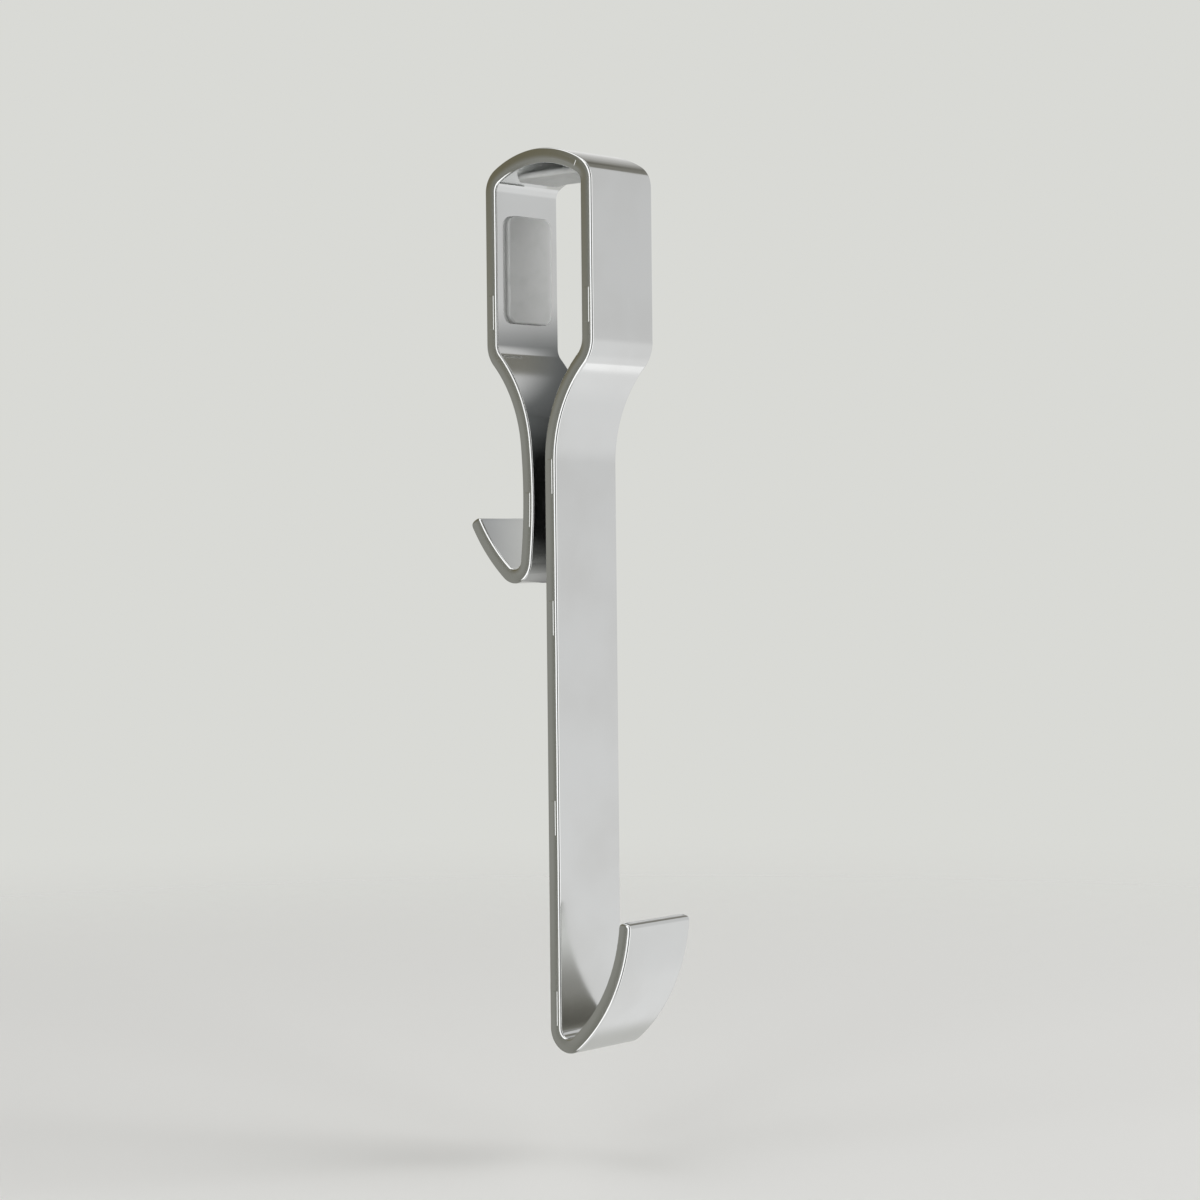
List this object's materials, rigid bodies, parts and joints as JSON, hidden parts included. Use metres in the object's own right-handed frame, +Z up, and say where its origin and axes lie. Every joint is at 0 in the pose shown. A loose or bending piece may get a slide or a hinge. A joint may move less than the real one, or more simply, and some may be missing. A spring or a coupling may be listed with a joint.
{
  "type": "shower door hook",
  "caption": "Bent chrome strip that saddles a shower screen's top rail, with a deep towel hook outside, a small hook inside, and soft pads against the rail and glass.",
  "frame": {"origin": "middle of the crown pad's underside, where the hook sits on the rail", "axes": "+X along the rail, across the strip; -Y to the outside of the shower, where the large hook opens; +Z up"},
  "size_m": [0.025, 0.0566, 0.2437],
  "materials": {
    "chrome_plate": "bright chrome plate over moulded ABS",
    "clear_silicone": "frosted clear silicone"
  },
  "bodies": {
    "root": {"hook_body": "chrome_plate", "crown_pad": "clear_silicone", "front_rail_pad": "clear_silicone", "rear_rail_pad": "clear_silicone", "leg_bumper": "clear_silicone"}
  },
  "joints": []
}
